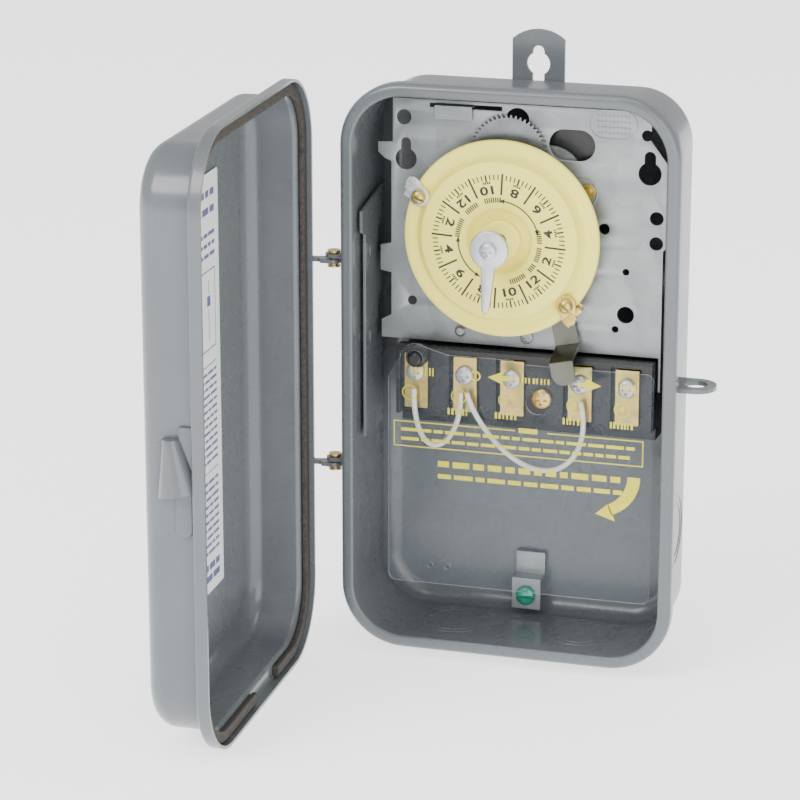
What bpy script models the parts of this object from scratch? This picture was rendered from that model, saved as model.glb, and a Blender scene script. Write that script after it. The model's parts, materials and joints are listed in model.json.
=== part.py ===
"""Mechanical 24-hour time switch in a rain-tight steel case, with its door open.

Lengths are in millimetres and MM turns them into Blender's metres. The origin is
the middle of the case's back face: +X is right as seen from the front, +Y goes into
the wall, +Z is up. Heights above the mechanism plate count from its front face
towards the viewer. Run with: blender --background --python part.py
"""
import math

import bmesh
import bpy
from mathutils import Matrix, Vector

MM = 0.001
GAP = 0.3                      # clearance between neighbouring solids

# Case: one deep-drawn shell with a flange around its front
CASE_W, CASE_H, CASE_D = 133.5, 228.0, 48.0
CASE_CORNER = 25.0             # corner radius of the flange
SHEET = 1.2                    # sheet thickness of case and door
FLANGE_DEPTH = 6.0
FLANGE_ROUND = 2.4
BODY_INSET = 4.0               # body wall inside the flange's outer edge
BACK_ROUND = 8.0
WALL_X = CASE_W / 2 - BODY_INSET
FLOOR_Z = -CASE_H / 2 + BODY_INSET
KNOCKOUT_R = 14.1              # trade size 3/4 inch
KNOCKOUT_SPACING = 52.0
KNOCKOUT_Y = -24.0
SIDE_KNOCKOUT_Z = -62.5
GROOVE = 0.6

# Hanging tab: keyhole for a number 8 screw
TAB_T = 1.6
TAB_HALF, TAB_ROUND, TAB_TOP = 10.5, 15.8, 129.0
TAB_FOOT = 107.3               # clears the rounded back edge of the case
TAB_HOLE, TAB_HOLE_Z = 4.6, 115.5
TAB_SLOT, TAB_SLOT_TOP = 2.3, 122.6

# Door: a drawn pan whose skirt fits over the case's flange
DOOR_OPEN = 88.0               # degrees open in the rest position
DOOR_MARGIN = 3.3              # skirt outside the flange on each side
SKIRT_EDGE_Y = -46.6           # closed position
SHOULDER_Y = -50.6
DOOR_FACE_Y = -73.2
PAN_INSET = 6.4                # pan wall inside the skirt
PAN_ROUND = 8.0
SKIRT_X = CASE_W / 2 + DOOR_MARGIN
PAN_X = SKIRT_X - PAN_INSET
HINGE_X, HINGE_Y = -71.8, -38.7
HINGE_HEIGHTS = (42.0, -41.0)
PIN_R = 1.6
EYE_R = 3.4

# Latch on the door's free side, measured in the closed position
LATCH_PIVOT_Z = 12.0
LATCH_Y = -58.6
GASKET_T = 2.0
LATCH_WIDTH = 7.0

# Mechanism plate and what stands on it
PLATE_Y = -29.0
PLATE_T = 1.2
PLATE_TOP = 104.8
DIAL_X, DIAL_Z = -5.0, 53.5
DIAL_R = 38.8
MODULE = 0.6
DIAL_TEETH, IDLER_PINION_TEETH, IDLER_TEETH, MOTOR_TEETH = 96, 10, 50, 10
MESH_EASE = 0.15               # extra centre distance
IDLER_X = -4.0
MOTOR_ANGLE = -31.5            # direction of the motor pinion from the idler
SHAFT_R = 2.5
POINTER_H = 24.5
POINTER_ANGLE = -93.0
LEVER_X, LEVER_Z = 13.5, 45.0
LEVER_LEAN = 12.0              # blade's angle from the vertical when on
OFF_ANGLE, ON_ANGLE = 155.0, -42.0

# Terminals
BLOCK_FRONT_Y = -36.0
POCKET_FLOOR_Y = -33.4
TERMINALS = {"a": -39.5, "1": -19.6, "2": -0.6, "3": 26.5, "4": 45.2}
TERMINAL_SCREW_Z = -2.5
STRAP_W, STRAP_TOP, STRAP_BOTTOM = 9.5, 4.5, -17.5
SHIELD_Y = -43.0
SHIELD_T = 0.6
EAR_X, EAR_Z = -37.5, 5.0
LEAD_R = 1.05
MOTOR_STUD = (27.6, 73.0)

# Colour, metallic, roughness
FINISHES = {
    "grey_enamel": ((0.25, 0.27, 0.29), 0.0, 0.35),
    "galvanised_steel": ((0.52, 0.54, 0.55), 0.9, 0.38),
    "cream_enamel": ((0.86, 0.78, 0.42), 0.0, 0.4),
    "zinc_casting": ((0.60, 0.61, 0.62), 0.9, 0.35),
    "brass": ((0.72, 0.52, 0.22), 1.0, 0.3),
    "dark_steel": ((0.20, 0.21, 0.21), 0.9, 0.4),
    "black_phenolic": ((0.02, 0.02, 0.022), 0.0, 0.4),
    "clear_plastic": ((0.75, 0.80, 0.85), 0.0, 0.1),
    "green_enamel": ((0.03, 0.32, 0.24), 0.0, 0.3),
    "sponge_rubber": ((0.09, 0.075, 0.06), 0.0, 0.85),
    "white_paper": ((0.85, 0.86, 0.88), 0.0, 0.6),
    "white_insulation": ((0.85, 0.85, 0.82), 0.0, 0.45),
}
FRONT = Matrix.Rotation(math.radians(90), 4, "X")   # local z points at the viewer


def clear_scene():
    for obj in list(bpy.data.objects):
        bpy.data.objects.remove(obj, do_unlink=True)
    for name in ("time_switch", "cutters"):
        collection = bpy.data.collections.new(name)
        bpy.context.scene.collection.children.link(collection)


def material(finish):
    found = bpy.data.materials.get(finish)
    if found:
        return found
    colour, metallic, roughness = FINISHES[finish]
    made = bpy.data.materials.new(finish)
    made.use_nodes = True
    shader = made.node_tree.nodes["Principled BSDF"]
    shader.inputs["Base Color"].default_value = (*colour, 1.0)
    shader.inputs["Metallic"].default_value = metallic
    shader.inputs["Roughness"].default_value = roughness
    return made


def at(x, y, z):
    return Vector((x, y, z)) * MM


def front_at(x, z, height=0.0):
    """Frame standing on the plate: local x right, y up, z towards the viewer."""
    return Matrix.Translation(at(x, PLATE_Y - height, z)) @ FRONT


def add(name, mesh, finish, matrix=None, collection="time_switch"):
    obj = bpy.data.objects.new(name, mesh)
    bpy.data.collections[collection].objects.link(obj)
    if matrix is not None:
        obj.matrix_world = matrix
    if finish:
        mesh.materials.append(material(finish))
    if mesh.polygons:
        mesh.shade_smooth()
        mesh.set_sharp_from_angle(angle=math.radians(35))
    return obj


def mesh_of(obj, weld=1e-6):
    """The evaluated mesh of an object, welded."""
    bpy.context.view_layer.update()
    graph = bpy.context.evaluated_depsgraph_get()
    mesh = bpy.data.meshes.new_from_object(obj.evaluated_get(graph))
    work = bmesh.new()
    work.from_mesh(mesh)
    bmesh.ops.remove_doubles(work, verts=work.verts, dist=weld)
    work.to_mesh(mesh)
    work.free()
    return mesh


def bake(obj):
    """Replace an object's modifiers by their result."""
    mesh = mesh_of(obj)
    obj.modifiers.clear()
    obj.data = mesh
    mesh.shade_smooth()
    mesh.set_sharp_from_angle(angle=math.radians(35))
    return obj


def arc(cx, cy, radius, start, end, steps):
    span = math.radians(end - start)
    first = math.radians(start)
    return [(cx + radius * math.cos(first + span * i / steps),
             cy + radius * math.sin(first + span * i / steps)) for i in range(steps + 1)]


def circle(cx, cy, radius, steps=20):
    return arc(cx, cy, radius, 0, 360, steps)[:-1]


def keyhole(cx, cy, radius, neck, top, steps=14):
    """Round hole with a narrow slot that ends in a half circle above it."""
    side = math.degrees(math.asin(neck / radius))
    return (arc(cx, cy, radius, 90 + side, 450 - side, steps)
            + arc(cx, top - neck, neck, 0, 180, 6))


def obround(cx, cy, length, width, steps=8):
    half = (length - width) / 2
    return (arc(cx + half, cy, width / 2, -90, 90, steps)
            + arc(cx - half, cy, width / 2, 90, 270, steps))


def rectangle(x0, y0, x1, y1):
    return [(x0, y0), (x1, y0), (x1, y1), (x0, y1)]


def rounded(x0, y0, x1, y1, radius, steps=4):
    return (arc(x1 - radius, y1 - radius, radius, 0, 90, steps)
            + arc(x0 + radius, y1 - radius, radius, 90, 180, steps)
            + arc(x0 + radius, y0 + radius, radius, 180, 270, steps)
            + arc(x1 - radius, y0 + radius, radius, 270, 360, steps))


def flat(name, loops, thickness, finish, matrix=None, collection="time_switch"):
    """A sheet: the first loop is its outline and the others are holes in it."""
    curve = bpy.data.curves.new(name, "CURVE")
    curve.dimensions = "2D"
    curve.fill_mode = "BOTH"
    curve.extrude = thickness * MM / 2
    for loop in loops:
        spline = curve.splines.new("POLY")
        spline.points.add(len(loop) - 1)
        for point, (x, y) in zip(spline.points, loop):
            point.co = (x * MM, y * MM, 0.0, 1.0)
        spline.use_cyclic_u = True
    drawn = bpy.data.objects.new(name + "_outline", curve)
    bpy.context.scene.collection.objects.link(drawn)
    mesh = mesh_of(drawn)
    mesh.name = name
    bpy.data.objects.remove(drawn, do_unlink=True)
    mesh.transform(Matrix.Translation((0, 0, thickness * MM / 2)))
    return add(name, mesh, finish, matrix, collection)


def turned(name, profile, finish, matrix=None, steps=24, collection="time_switch"):
    """A turned piece: (radius, height) points down its outer side, axis along z."""
    mesh = bpy.data.meshes.new(name)
    points = [(r * MM, 0.0, h * MM) for r, h in profile]
    closed = profile[0][0] > 0
    edges = [(i, i + 1) for i in range(len(points) - 1)]
    if closed:
        edges.append((len(points) - 1, 0))
    mesh.from_pydata(points, edges, [])
    obj = add(name, mesh, finish, matrix, collection)
    screw = obj.modifiers.new("Turn", "SCREW")
    screw.steps = steps
    screw.render_steps = steps
    screw.use_merge_vertices = True
    screw.merge_threshold = 0.000001
    screw.use_smooth_shade = True
    return bake(obj)


def box(name, low, high, finish, matrix=None, collection="time_switch", bevel=0.0):
    mesh = bpy.data.meshes.new(name)
    work = bmesh.new()
    bmesh.ops.create_cube(work, size=1.0)
    size = [high[i] - low[i] for i in range(3)]
    middle = [(high[i] + low[i]) / 2 for i in range(3)]
    bmesh.ops.scale(work, verts=work.verts, vec=Vector(size) * MM)
    bmesh.ops.translate(work, verts=work.verts, vec=Vector(middle) * MM)
    work.to_mesh(mesh)
    work.free()
    obj = add(name, mesh, finish, matrix, collection)
    if bevel:
        rounding = obj.modifiers.new("Edges", "BEVEL")
        rounding.width = bevel * MM
        rounding.segments = 1
    return obj


def cut(obj, *cutters, operation="DIFFERENCE"):
    """Boolean with each cutter in turn; the result is kept and the cutters hidden."""
    for cutter in cutters:
        step = obj.modifiers.new("Cut", "BOOLEAN")
        step.operation = operation
        step.solver = "EXACT"
        step.object = cutter
    bake(obj)
    for cutter in cutters:
        if operation == "UNION":
            bpy.data.objects.remove(cutter, do_unlink=True)
        else:
            cutter.hide_render = True
            cutter.display_type = "WIRE"
    return obj


def join(obj, *others):
    return cut(obj, *others, operation="UNION")


def set_origin(obj, point):
    """Move the object's origin to a world point without moving its shape."""
    target = Matrix.Translation(at(*point))
    obj.data.transform(target.inverted() @ obj.matrix_world)
    obj.matrix_world = target
    return obj


def tube(name, points, radius, finish):
    """A lead: a POLY curve through points that are already close together."""
    curve = bpy.data.curves.new(name, "CURVE")
    curve.dimensions = "3D"
    curve.bevel_depth = radius * MM
    curve.bevel_resolution = 2
    curve.use_fill_caps = True
    spline = curve.splines.new("POLY")
    spline.points.add(len(points) - 1)
    for point, place in zip(spline.points, points):
        point.co = (*at(*place), 1.0)
    obj = bpy.data.objects.new(name, curve)
    bpy.data.collections["time_switch"].objects.link(obj)
    curve.materials.append(material(finish))
    return obj


# ---------------------------------------------------------------- case and door

def rounded_ring(half_w, half_h, corner, y, steps=5):
    """Points of a rounded rectangle that stands in an XZ plane."""
    corner = max(corner, 2.0)
    loop = rounded(-half_w, -half_h, half_w, half_h, corner, steps)
    return [(x, y, z) for x, z in loop]


def drawn_shell(name, profile, finish):
    """Deep-drawn sheet: each (inset, y) is one ring, and the last ring is filled.

    The profile is the side that faces the viewer, and the thickness lies behind it.
    """
    half_w, half_h, corner = profile[0]
    work = bmesh.new()
    rings = []
    for inset, y in profile[1]:
        ring = rounded_ring(half_w - inset, half_h - inset, corner - inset, y)
        rings.append([work.verts.new(at(*point)) for point in ring])
    for near, far in zip(rings, rings[1:]):
        for i in range(len(near)):
            j = (i + 1) % len(near)
            work.faces.new((near[i], near[j], far[j], far[i]))
    middle = work.faces.new(rings[-1])
    bmesh.ops.recalc_face_normals(work, faces=work.faces)
    if middle.normal.y > 0:
        bmesh.ops.reverse_faces(work, faces=work.faces)
    mesh = bpy.data.meshes.new(name)
    work.to_mesh(mesh)
    work.free()
    obj = add(name, mesh, finish)
    sheet = obj.modifiers.new("Sheet", "SOLIDIFY")
    sheet.thickness = SHEET * MM
    sheet.offset = -1.0
    sheet.use_even_offset = True
    return obj


def bend(inset, y, radius, start, end, steps=3):
    """Arc of the sheet's profile: angles in the (inset, y) plane."""
    return arc(inset, y, radius, start, end, steps)


def build_case():
    """Flange, rolled front edge, wall and back, seen from inside the case."""
    half = (CASE_W / 2, CASE_H / 2, CASE_CORNER)
    front = -CASE_D
    inner = BODY_INSET + SHEET
    profile = [(0.0, front + FLANGE_DEPTH), (0.0, front + FLANGE_ROUND)]
    profile += bend(FLANGE_ROUND, front + FLANGE_ROUND, FLANGE_ROUND, 180, 270)[1:]
    profile += bend(inner - 1.0, front + 1.0, 1.0, 270, 360, 2)
    profile += [(inner, front + 10.0), (inner, -BACK_ROUND)]
    profile += bend(inner + BACK_ROUND - SHEET, -BACK_ROUND, BACK_ROUND - SHEET,
                    180, 90, 4)[1:]
    shell = drawn_shell("case_shell", (half, [(i, y) for i, y in profile]), "grey_enamel")
    bake(shell)
    grooves = [ring_cutter(f"knockout_cutter_{i}", place, turn) for i, (place, turn) in enumerate(
        knockout_places())]
    cut(shell, *grooves)
    return shell


def knockout_places():
    """Centre of each knockout on the outer surface, and the turn that faces it out."""
    right = Matrix.Rotation(math.radians(90), 4, "Y")
    down = Matrix.Rotation(math.radians(180), 4, "X")
    half = KNOCKOUT_SPACING / 2
    return [((WALL_X, KNOCKOUT_Y, SIDE_KNOCKOUT_Z), right),
            ((-half, KNOCKOUT_Y, FLOOR_Z), down),
            ((half, KNOCKOUT_Y, FLOOR_Z), down)]


def ring_cutter(name, place, turn):
    profile = [(KNOCKOUT_R + GROOVE, 1.0), (KNOCKOUT_R + GROOVE, -GROOVE),
               (KNOCKOUT_R, -GROOVE), (KNOCKOUT_R, 1.0)]
    return turned(name, profile, None, Matrix.Translation(at(*place)) @ turn, 24, "cutters")


def hanging_tab():
    """Ear behind the case's top edge: a keyhole whose slot also runs on below its hole."""
    side = math.degrees(math.acos(TAB_HALF / TAB_ROUND))
    outline = (arc(0, TAB_TOP - TAB_ROUND, TAB_ROUND, side, 180 - side, 10)
               + [(-TAB_HALF, TAB_FOOT), (TAB_HALF, TAB_FOOT)])
    neck = math.degrees(math.asin(TAB_SLOT / TAB_HOLE))
    hole = (arc(0, TAB_HOLE_Z, TAB_HOLE, neck - 90, 90 - neck, 8)
            + arc(0, TAB_SLOT_TOP - TAB_SLOT, TAB_SLOT, 0, 180, 6)
            + arc(0, TAB_HOLE_Z, TAB_HOLE, 90 + neck, 270 - neck, 8)
            + [(-TAB_SLOT, TAB_FOOT + 1.3), (TAB_SLOT, TAB_FOOT + 1.3)])
    return flat("hanging_tab", [outline, hole], TAB_T, "grey_enamel", FRONT)


def padlock_staple():
    """Horizontal ring plate on the right wall, half way up."""
    centre_y, radius = -33.0, 8.0
    tip = WALL_X + 17.0
    outline = ([(WALL_X + GAP, centre_y - radius)]
               + arc(tip - radius, centre_y, radius, -90, 90, 8)
               + [(WALL_X + GAP, centre_y + radius)])
    hole = circle(tip - radius, centre_y, 4.4, 16)
    return flat("padlock_staple", [outline, hole], 1.8, "grey_enamel",
                Matrix.Translation(at(0, 0, -0.9)))


def hinge_arm(name, z):
    """Case side of a hinge: a flat arm under the flange with an eye for the pin."""
    outline = (arc(HINGE_X, HINGE_Y, EYE_R, 90, 270, 8)
               + [(-WALL_X - GAP, HINGE_Y - EYE_R + 0.6), (-WALL_X - GAP, HINGE_Y + EYE_R)])
    hole = circle(HINGE_X, HINGE_Y, PIN_R + GAP, 12)
    return flat(name, [outline, hole], 1.6, "grey_enamel",
                Matrix.Translation(at(0, 0, z + GAP)))


def hinge_pin(name, z):
    profile = [(0, 3.0), (2.6, 3.0), (2.6, 2.0 + GAP), (PIN_R, 2.0 + GAP),
               (PIN_R, -2.6 - GAP), (2.6, -2.6 - GAP), (2.6, -3.6), (0, -3.6)]
    return turned(name, profile, "brass", Matrix.Translation(at(HINGE_X, HINGE_Y, z)), 14)


def door_ear(name, z):
    """Door side of a hinge, drawn with the door closed."""
    outside = -SKIRT_X - GAP
    outline = (arc(HINGE_X, HINGE_Y, EYE_R, 0, 180, 8)
               + [(-SKIRT_X - GAP - 2.6, -50.0), (outside, -50.0), (outside, -44.4),
                  (-CASE_W / 2 - 1.6, -43.4)])
    hole = circle(HINGE_X, HINGE_Y, PIN_R + GAP, 12)
    return flat(name, [outline, hole], 1.6, "grey_enamel",
                Matrix.Translation(at(0, 0, z - 1.6 - GAP)))


def door_shell():
    """Skirt, sealing shoulder and pan, drawn closed and turned open afterwards."""
    half = (SKIRT_X, CASE_H / 2 + DOOR_MARGIN, CASE_CORNER + DOOR_MARGIN)
    profile = [(0.0, SKIRT_EDGE_Y), (0.0, SHOULDER_Y + 1.6 - SHEET)]
    profile += bend(1.6, SHOULDER_Y + 1.6 - SHEET, 1.6, 180, 270, 2)[1:]
    profile += [(PAN_INSET - 1.0, SHOULDER_Y - SHEET), (PAN_INSET, SHOULDER_Y - SHEET - 1.0)]
    profile += bend(PAN_INSET + PAN_ROUND, DOOR_FACE_Y + PAN_ROUND, PAN_ROUND, 180, 270, 4)
    shell = drawn_shell("door_shell", (half, profile), "grey_enamel")
    bake(shell)
    slot = box("latch_slot_cutter", (SKIRT_X - 3.0, -49.4, -5.0), (SKIRT_X + 2.0, -47.6, 8.0),
               None, collection="cutters")
    return cut(shell, slot)


def gasket():
    """Foam strip on the shoulder, open at the bottom where rain drains."""
    outer = rounded(-68.1, -115.4, 68.1, 115.4, 26.0, 5)
    inner = rounded(-63.6, -110.9, 63.6, 110.9, 21.5, 5)
    frame = Matrix.Translation(at(0, SHOULDER_Y + GAP + GASKET_T, 0)) @ FRONT
    ring = flat("door_gasket", [outer, inner], GASKET_T, "sponge_rubber", frame)
    drain = box("gasket_gap_cutter", (-22.0, -60.0, -120.0), (6.0, -40.0, -105.0), None,
                collection="cutters")
    return cut(ring, drain)


def door_label():
    """Paper sheet inside the pan: instructions and wiring diagram on the real one."""
    return box("door_label", (-27.0, DOOR_FACE_Y + SHEET + GAP, -78.0),
               (54.0, DOOR_FACE_Y + SHEET + GAP + 0.3, 86.0), "white_paper")


def latch():
    """Spring clip: a top bridge, a plate, a flared padlock loop and a finger tongue."""
    wall = PAN_X + GAP
    half = LATCH_WIDTH / 2
    side = Matrix.Rotation(math.radians(90), 4, "Z") @ FRONT   # local z points at +X
    frame = Matrix.Translation(at(wall, 0, 0)) @ side
    centre = LATCH_Y
    plate = ([(centre - half, 12.0), (centre - half, 5.0)]
             + arc(centre, -26.0, half, 180, 360, 6)
             + [(centre + half, 5.0), (centre + half, 12.0)])
    clip = flat("door_latch", [plate], 1.2, "grey_enamel", frame)
    hood_top, hood_bottom = 7.0, -13.0
    hood = cone_part("hood_outer", hood_top, hood_bottom, 3.4, 6.2, (wall + 0.2, centre))
    inside = cone_part("hood_inner", hood_top + 3.0, hood_bottom - 3.0, 1.8, 5.6,
                       (wall + 0.2, centre), "cutters")
    behind = box("hood_back_cutter", (wall - 20.0, centre - 20.0, -40.0),
                 (wall + 0.1, centre + 20.0, 40.0), None, collection="cutters")
    cut(hood, behind, inside)
    join(clip, hood)
    return clip


def cone_part(name, top, bottom, top_r, bottom_r, centre, collection="time_switch"):
    x, y = centre
    profile = [(0, top), (top_r, top), (bottom_r, bottom), (0, bottom)]
    return turned(name, profile, "grey_enamel" if collection == "time_switch" else None,
                  Matrix.Translation(at(x, y, 0)), 20, collection)


def door_turn():
    hinge = Matrix.Translation(at(HINGE_X, HINGE_Y, 0))
    return hinge @ Matrix.Rotation(math.radians(-DOOR_OPEN), 4, "Z") @ hinge.inverted()


def open_door(pieces):
    """Turn what was drawn closed about the hinge line into its open place."""
    for piece in pieces:
        piece.data.transform(door_turn() @ piece.matrix_world)
        piece.matrix_world = Matrix.Identity(4)
        set_origin(piece, (HINGE_X, HINGE_Y, 0))


def build_enclosure():
    build_case()
    hanging_tab()
    padlock_staple()
    clip = latch()
    door = [door_shell(), gasket(), door_label(), clip]
    for where, z in zip(("upper", "lower"), HINGE_HEIGHTS):
        hinge_arm(f"hinge_arm_{where}", z)
        hinge_pin(f"hinge_pin_{where}", z)
        door.append(door_ear(f"door_ear_{where}", z))
    open_door(door)
    set_origin(clip, (door_turn() @ at(PAN_X + GAP, LATCH_Y, LATCH_PIVOT_Z)) / MM)
    side = Matrix.Rotation(math.radians(90), 4, "Z") @ FRONT
    flat("side_bracket", bracket_loops(), 1.2, "grey_enamel",
         Matrix.Translation(at(-WALL_X + SHEET + 1.6, 0, 0)) @ side)
    ground_lug()


def bracket_loops():
    """Side strip (y, z): a taller head, two waists along its back edge and two oval slots."""
    front, head, back, waist = -39.0, -43.0, -16.0, -22.5
    outline = [(front, -30.0), (back, -30.0), (back, 7.0), (waist, 9.0), (waist, 22.5),
               (back, 25.0), (back, 40.0), (waist, 41.5), (waist, 51.5), (back, 53.4),
               (back, 67.0), (head, 62.0), (head, 53.5), (front, 52.0)]
    slots = [[(-34.0 + 1.5 * x, z + 2.6 * y) for x, y in circle(0, 0, 1.0, 12)]
             for z in (44.0, 9.5)]
    return [outline] + slots


def ground_lug():
    """Bent tab above the floor of the case with a green bonding screw."""
    front = box("ground_lug", (-6.0, -11.5, -106.0), (6.0, -10.0, -93.0), "galvanised_steel")
    leg = box("lug_leg", (-6.0, -11.5, -94.5), (6.0, -3.0, -93.0), "galvanised_steel")
    foot = box("lug_foot", (-6.0, -4.4, -94.5), (6.0, -1.5, -84.0), "galvanised_steel")
    hole = turned("lug_hole", [(0, 10), (2.4, 10), (2.4, -10), (0, -10)], None,
                  Matrix.Translation(at(0, -11, -100.0)) @ FRONT, 16, "cutters")
    join(front, leg, foot)
    cut(front, hole)
    profile = [(0, 2.6), (2.6, 2.4), (4.0, 1.4), (4.0, GAP), (2.0, GAP), (2.0, -7.0), (0, -7.0)]
    turned("ground_screw", profile, "green_enamel",
           Matrix.Translation(at(0, -11.5, -100.0)) @ FRONT, 18)


# ---------------------------------------------------------------- mechanism

def polar(angle, radius, cx=0.0, cy=0.0):
    turn = math.radians(angle)
    return cx + radius * math.cos(turn), cy + radius * math.sin(turn)


def involute(base, radius):
    """Angle by which an involute has turned when it reaches a radius, in radians."""
    if radius <= base:
        return 0.0
    roll = math.sqrt((radius / base) ** 2 - 1)
    return roll - math.atan(roll)


def gear_outline(teeth, phase=0.0, slack=0.07, addendum=0.8, dedendum=1.2):
    """Involute teeth with relieved roots; phase is the angle of tooth 0 in degrees."""
    pitch_r = MODULE * teeth / 2
    base = pitch_r * math.cos(math.radians(20))
    root, tip = pitch_r - dedendum * MODULE, pitch_r + addendum * MODULE
    half_tooth = math.pi / (2 * teeth) - slack / pitch_r
    points = []
    for i in range(teeth):
        middle = math.radians(phase) + 2 * math.pi * i / teeth
        flank = []
        for radius in (root, pitch_r, tip):
            turn = half_tooth + involute(base, pitch_r) - involute(base, radius)
            flank.append((radius, turn))
        for radius, turn in flank:
            points.append(polar(math.degrees(middle - turn), radius))
        for radius, turn in reversed(flank):
            points.append(polar(math.degrees(middle + turn), radius))
    return points


def centre_distance(teeth_a, teeth_b):
    return MODULE * (teeth_a + teeth_b) / 2 + MESH_EASE


def idler_centre():
    reach = centre_distance(DIAL_TEETH, IDLER_PINION_TEETH)
    rise = math.sqrt(reach ** 2 - (IDLER_X - DIAL_X) ** 2)
    return IDLER_X, DIAL_Z + rise


def motor_centre():
    x, z = idler_centre()
    return polar(MOTOR_ANGLE, centre_distance(IDLER_TEETH, MOTOR_TEETH), x, z)


def meshing_phase(driver_phase, driver_teeth, driven_teeth, direction):
    """Phase that puts a gap of the driven gear against the driver's tooth."""
    ahead = (direction - driver_phase) * driver_teeth / driven_teeth
    return direction + 180.0 + ahead + 180.0 / driven_teeth


def gears():
    """Dial gear, idler pinion and gear, and motor pinion, all in mesh."""
    ix, iz = idler_centre()
    mx, mz = motor_centre()
    up = math.degrees(math.atan2(iz - DIAL_Z, ix - DIAL_X))
    pinion_phase = meshing_phase(0.0, DIAL_TEETH, IDLER_PINION_TEETH, up)
    motor_phase = meshing_phase(0.0, IDLER_TEETH, MOTOR_TEETH, MOTOR_ANGLE)
    flat("dial_gear", [gear_outline(DIAL_TEETH), circle(0, 0, 4.2 + GAP, 20)], 1.2,
         "dark_steel", front_at(DIAL_X, DIAL_Z, 3.0))
    flat("idler_pinion", [gear_outline(IDLER_PINION_TEETH, pinion_phase), circle(0, 0, 1.3, 12)],
         2.0, "brass", front_at(ix, iz, 2.3))
    flat("idler_gear", [gear_outline(IDLER_TEETH), circle(0, 0, 1.3, 12)], 1.2,
         "dark_steel", front_at(ix, iz, 0.8))
    flat("motor_pinion", [gear_outline(MOTOR_TEETH, motor_phase), circle(0, 0, 1.3, 12)], 1.7,
         "brass", front_at(mx, mz, 0.5))
    turned("idler_arbor", [(0, 4.3), (1.0, 4.3), (1.0, -PLATE_T - 0.5), (2.0, -PLATE_T - 0.5),
                           (2.0, -PLATE_T - 1.5), (0, -PLATE_T - 1.5)], "galvanised_steel",
           front_at(ix, iz), 12)
    rotor_back = -PLATE_T - 3.2
    turned("motor_rotor", [(0, 2.2), (1.0, 2.2), (1.0, rotor_back + 1.4), (13.0, rotor_back + 1.4),
                           (13.0, rotor_back), (0, rotor_back)], "galvanised_steel",
           front_at(mx, mz), 28)
    can_front = rotor_back - 1.0
    turned("motor_housing", [(0, can_front), (20.0, can_front), (21.0, can_front - 1.0),
                             (21.0, can_front - 14.0), (0, can_front - 14.0)],
           "black_phenolic", front_at(mx + 6.0, mz + 2.0), 32)


def plate_outline():
    """Left edge with hook tabs, cut corner at the top right, tail at the bottom right."""
    return [(-50.8, PLATE_TOP), (-50.8, 87.4), (-56.7, 87.0), (-56.7, 83.0), (-54.0, 80.5),
            (-51.4, 79.5), (-51.4, 53.6), (-51.4, 47.0), (-55.8, 46.0), (-55.8, 35.8),
            (-51.4, 35.0), (-51.4, 18.0), (-55.4, 15.8), (-55.4, 8.6), (55.8, 8.6),
            (55.8, -5.0), (56.8, -5.0), (56.8, 51.0), (57.8, 52.0), (57.8, 85.2),
            (51.2, 93.8)] + arc(49.7, 95.6, 2.1, -50, -310, 8) + [
            (51.4, 97.6), (51.4, 101.8), (48.0, PLATE_TOP)]


def mechanism_plate():
    ix, iz = idler_centre()
    mx, mz = motor_centre()
    holes = [circle(-46.2, 97.3, 2.9, 12), keyhole(-45.4, 80.8, 4.2, 1.9, 89.2),
             circle(-1.0, 98.8, 4.5, 16), obround(20.5, 90.1, 18.0, 12.0, 8),
             keyhole(51.0, 80.9, 4.4, 2.1, 89.5), circle(33.6, 58.3, 2.1, 12),
             circle(54.0, 63.7, 2.6, 12), circle(54.0, 53.9, 2.6, 12),
             circle(42.4, 41.9, 1.3, 8), circle(42.6, 24.9, 3.3, 14), circle(38.6, 18.9, 1.3, 8),
             circle(-42.8, 24.4, 1.8, 10), rectangle(-35.9, 101.8, -7.2, 103.4),
             circle(DIAL_X, DIAL_Z, SHAFT_R + GAP, 16), circle(ix, iz, 1.0 + GAP, 12),
             circle(mx, mz, 1.0 + GAP, 12), circle(LEVER_X, LEVER_Z, 2.0 + GAP, 14),
             circle(-23.2, 13.4, 1.2 + GAP, 10), circle(22.8, 13.6, 1.2 + GAP, 10),
             circle(*MOTOR_STUD, 1.6 + GAP, 10)]
    flat("mechanism_plate", [plate_outline()] + holes, PLATE_T, "galvanised_steel",
         front_at(0, 0, -PLATE_T))
    for side, x, z in (("left", -23.2, 13.4), ("right", 22.8, 13.6)):
        turned(f"plate_rivet_{side}", [(0, 1.1), (1.4, 1.0), (2.3, GAP), (1.2, GAP),
                                       (1.2, -PLATE_T - 1.0), (0, -PLATE_T - 1.0)],
               "galvanised_steel", front_at(x, z), 12)
    turned("motor_stud", [(0, 3.2), (1.2, 3.2), (1.2, 1.4), (2.8, 1.4), (2.8, GAP), (1.6, GAP),
                          (1.6, -PLATE_T - 1.2), (0, -PLATE_T - 1.2)], "brass",
           front_at(*MOTOR_STUD), 12)
    retaining_clip()


def retaining_clip():
    """Spring clip that comes forward through the slot at the plate's top and turns down."""
    clip = box("retaining_clip", (-33.5, PLATE_Y - 2.4, 97.6), (-18.6, PLATE_Y - 1.6, 103.05),
               "galvanised_steel")
    leg = box("clip_leg", (-33.5, PLATE_Y - 2.4, 102.15), (-18.6, PLATE_Y + 4.0, 103.05),
              "galvanised_steel")
    join(clip, leg)


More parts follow.
